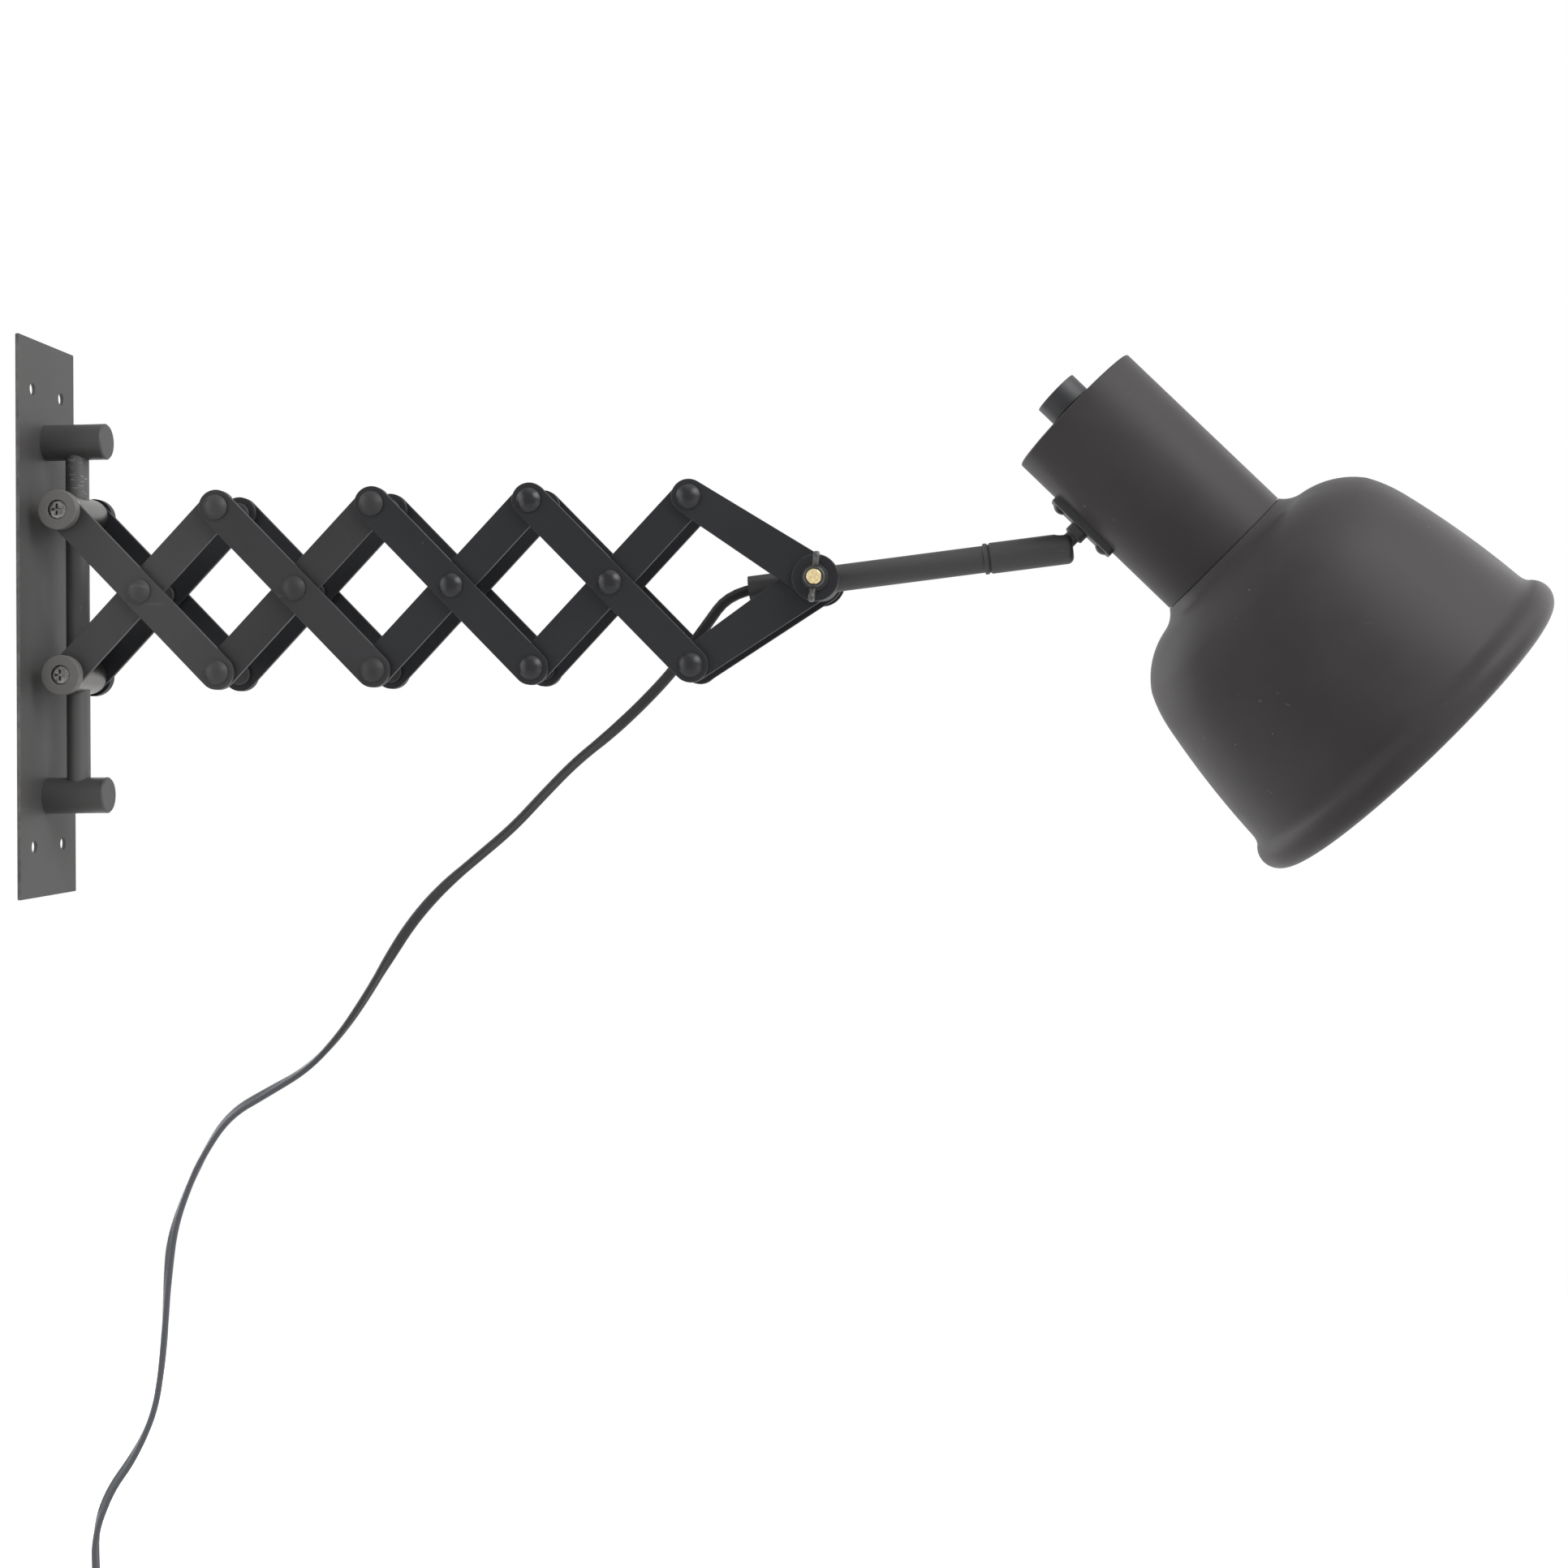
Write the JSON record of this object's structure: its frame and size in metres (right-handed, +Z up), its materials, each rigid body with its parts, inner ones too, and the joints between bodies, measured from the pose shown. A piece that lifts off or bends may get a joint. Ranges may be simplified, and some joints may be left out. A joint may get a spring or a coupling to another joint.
{
  "type": "accordion wall lamp",
  "caption": "Scissor-arm wall lamp: rod bracket, double lattice of riveted flat bars, wing-nut pivot, ball-jointed head with bell shade, flat cord with plug.",
  "frame": {"origin": "middle of the wall plate's back face", "axes": "+X straight out of the wall, +Z up, +Y to the right of someone who faces the wall"},
  "size_m": [0.6131, 0.1544, 0.6505],
  "materials": {
    "plate_paint": "matt dark grey stove enamel, a little worn",
    "bar_paint": "matt near-black stove enamel",
    "head_paint": "matt dark grey enamel with small specks and scratches",
    "satin_steel": "turned steel, satin",
    "zinc_screw": "zinc plated",
    "brass_stud": "turned brass, dulled",
    "black_plastic": "moulded, satin",
    "holder_plastic": "moulded black",
    "cord_sheath": "soft matt sheath"
  },
  "bodies": {
    "wall_bracket": {"wall_plate": "plate_paint", "upper_post": "plate_paint", "lower_post": "plate_paint", "post_screws": "zinc_screw"},
    "guide_rod": {"guide_rod": "plate_paint"},
    "upper_carriage": {"upper_sleeve": "satin_steel", "upper_caps": "plate_paint", "upper_sleeve_screws": "zinc_screw"},
    "lower_carriage": {"lower_sleeve": "satin_steel", "lower_caps": "plate_paint", "lower_sleeve_screws": "zinc_screw"},
    "falling_1": {"falling_bar_1_front": "bar_paint", "falling_bar_1_rear": "bar_paint", "falling_rivets_1": "bar_paint"},
    "rising_1": {"rising_bar_1_front": "bar_paint", "rising_bar_1_rear": "bar_paint", "rising_rivets_1": "bar_paint"},
    "falling_2": {"falling_bar_2_front": "bar_paint", "falling_bar_2_rear": "bar_paint", "falling_rivets_2": "bar_paint"},
    "rising_2": {"rising_bar_2_front": "bar_paint", "rising_bar_2_rear": "bar_paint", "rising_rivets_2": "bar_paint"},
    "falling_3": {"falling_bar_3_front": "bar_paint", "falling_bar_3_rear": "bar_paint", "falling_rivets_3": "bar_paint"},
    "rising_3": {"rising_bar_3_front": "bar_paint", "rising_bar_3_rear": "bar_paint", "rising_rivets_3": "bar_paint"},
    "falling_4": {"falling_bar_4_front": "bar_paint", "falling_bar_4_rear": "bar_paint", "falling_rivets_4": "bar_paint"},
    "rising_4": {"rising_bar_4_front": "bar_paint", "rising_bar_4_rear": "bar_paint", "rising_rivets_4": "bar_paint"},
    "upper_end": {"upper_end_bar_front": "bar_paint", "upper_end_bar_rear": "bar_paint"},
    "lower_end": {"lower_end_bar_front": "bar_paint", "lower_end_bar_rear": "bar_paint"},
    "pivot_discs": {"friction_discs": "bar_paint", "cord_run": "cord_sheath", "cord_coil": "cord_sheath", "coil_tie": "black_plastic", "plug": "black_plastic"},
    "arm": {"arm_hub": "bar_paint", "pivot_stud": "brass_stud", "rear_screw": "bar_paint", "arm_tube": "bar_paint", "tube_bush": "black_plastic", "cord_start": "cord_sheath"},
    "wing_nut": {"wing_nut": "bar_paint"},
    "ball_socket": {"ball_socket": "bar_paint"},
    "ball_stud": {"ball_stud": "bar_paint"},
    "head": {"saddle": "bar_paint", "saddle_screws": "bar_paint", "lamp_neck": "head_paint", "lampholder": "holder_plastic", "shade": "head_paint"},
    "switch_knob": {"switch_knob": "black_plastic"}
  },
  "joints": [
    {"name": "arm_swing", "type": "hinge", "parent": "wall_bracket", "child": "guide_rod", "pos_m": [0.0145, 0, 0], "axis": [0, 0, 1], "range_deg": [-10, 10]},
    {"name": "carriage_slide", "type": "slide", "parent": "guide_rod", "child": "upper_carriage", "axis": [0, 0, 1], "range_m": [-0.01, 0.01]},
    {"name": "scissor_fold", "type": "hinge", "parent": "upper_carriage", "child": "falling_1", "pos_m": [0.0145, 0, 0.04372], "axis": [0, 1, 0], "range_deg": [-28, 25]},
    {"name": "rising_1_turn", "type": "hinge", "parent": "falling_1", "child": "rising_1", "pos_m": [0.047, 0, 0.00985], "axis": [0, 1, 0], "range_deg": [-51, 57]},
    {"name": "lower_carriage_turn", "type": "hinge", "parent": "rising_1", "child": "lower_carriage", "pos_m": [0.0145, 0, -0.02402], "axis": [0, 1, 0], "range_deg": [-29, 26]},
    {"name": "rising_2_turn", "type": "hinge", "parent": "falling_1", "child": "rising_2", "pos_m": [0.0795, 0, -0.02402], "axis": [0, 1, 0], "range_deg": [-51, 57]},
    {"name": "falling_2_turn", "type": "hinge", "parent": "rising_2", "child": "falling_2", "pos_m": [0.112, 0, 0.00985], "axis": [0, 1, 0], "range_deg": [-57, 51]},
    {"name": "falling_3_turn", "type": "hinge", "parent": "rising_2", "child": "falling_3", "pos_m": [0.1445, 0, 0.04372], "axis": [0, 1, 0], "range_deg": [-57, 51]},
    {"name": "rising_3_turn", "type": "hinge", "parent": "falling_3", "child": "rising_3", "pos_m": [0.177, 0, 0.00985], "axis": [0, 1, 0], "range_deg": [-51, 57]},
    {"name": "rising_4_turn", "type": "hinge", "parent": "falling_3", "child": "rising_4", "pos_m": [0.20951, 0, -0.02402], "axis": [0, 1, 0], "range_deg": [-51, 57]},
    {"name": "falling_4_turn", "type": "hinge", "parent": "rising_4", "child": "falling_4", "pos_m": [0.24201, 0, 0.00985], "axis": [0, 1, 0], "range_deg": [-57, 51]},
    {"name": "upper_end_turn", "type": "hinge", "parent": "rising_4", "child": "upper_end", "pos_m": [0.27451, 0, 0.04372], "axis": [0, 1, 0], "range_deg": [-46.89, 41.98]},
    {"name": "lower_end_turn", "type": "hinge", "parent": "falling_4", "child": "lower_end", "pos_m": [0.27451, 0, -0.02402], "axis": [0, 1, 0], "range_deg": [-41.98, 46.89]},
    {"name": "pivot_level", "type": "hinge", "parent": "upper_end", "child": "pivot_discs", "pos_m": [0.32536, 0, 0.00985], "axis": [0, 1, 0], "range_deg": [-16.98, 18.89]},
    {"name": "arm_tilt", "type": "hinge", "parent": "pivot_discs", "child": "arm", "pos_m": [0.32536, 0, 0.00985], "axis": [0, 1, 0], "range_deg": [-45, 45]},
    {"name": "wing_nut_turn", "type": "hinge", "parent": "arm", "child": "wing_nut", "pos_m": [0.32536, 0, 0.00985], "axis": [0, 1, 0], "range_deg": [-180, 180]},
    {"name": "socket_turn", "type": "hinge", "parent": "arm", "child": "ball_socket", "pos_m": [0.42317, 0, 0.02065], "axis": [0.994, 0, 0.1097], "range_deg": [-60, 60]},
    {"name": "head_tilt", "type": "hinge", "parent": "ball_socket", "child": "ball_stud", "pos_m": [0.42317, 0, 0.02065], "axis": [0, 1, 0], "range_deg": [-38, 38]},
    {"name": "head_spin", "type": "hinge", "parent": "ball_stud", "child": "head", "pos_m": [0.42317, 0, 0.02065], "axis": [0.7108, 0, 0.7034], "range_deg": [-60, 60]},
    {"name": "switch_press", "type": "slide", "parent": "head", "child": "switch_knob", "axis": [0.7034, 0, -0.7108], "range_m": [0, 0.0014], "stiffness_N_per_m": 600}
  ],
  "couplings": [
    {"joint": "rising_1_turn", "follows": "scissor_fold", "ratio": -2},
    {"joint": "lower_carriage_turn", "follows": "scissor_fold", "ratio": 1},
    {"joint": "rising_2_turn", "follows": "scissor_fold", "ratio": -2},
    {"joint": "falling_2_turn", "follows": "scissor_fold", "ratio": 2},
    {"joint": "falling_3_turn", "follows": "scissor_fold", "ratio": 2},
    {"joint": "rising_3_turn", "follows": "scissor_fold", "ratio": -2},
    {"joint": "rising_4_turn", "follows": "scissor_fold", "ratio": -2},
    {"joint": "falling_4_turn", "follows": "scissor_fold", "ratio": 2},
    {"joint": "upper_end_turn", "follows": "scissor_fold", "ratio": 1.6391},
    {"joint": "lower_end_turn", "follows": "scissor_fold", "ratio": -1.6391},
    {"joint": "pivot_level", "follows": "scissor_fold", "ratio": -0.6391}
  ]
}
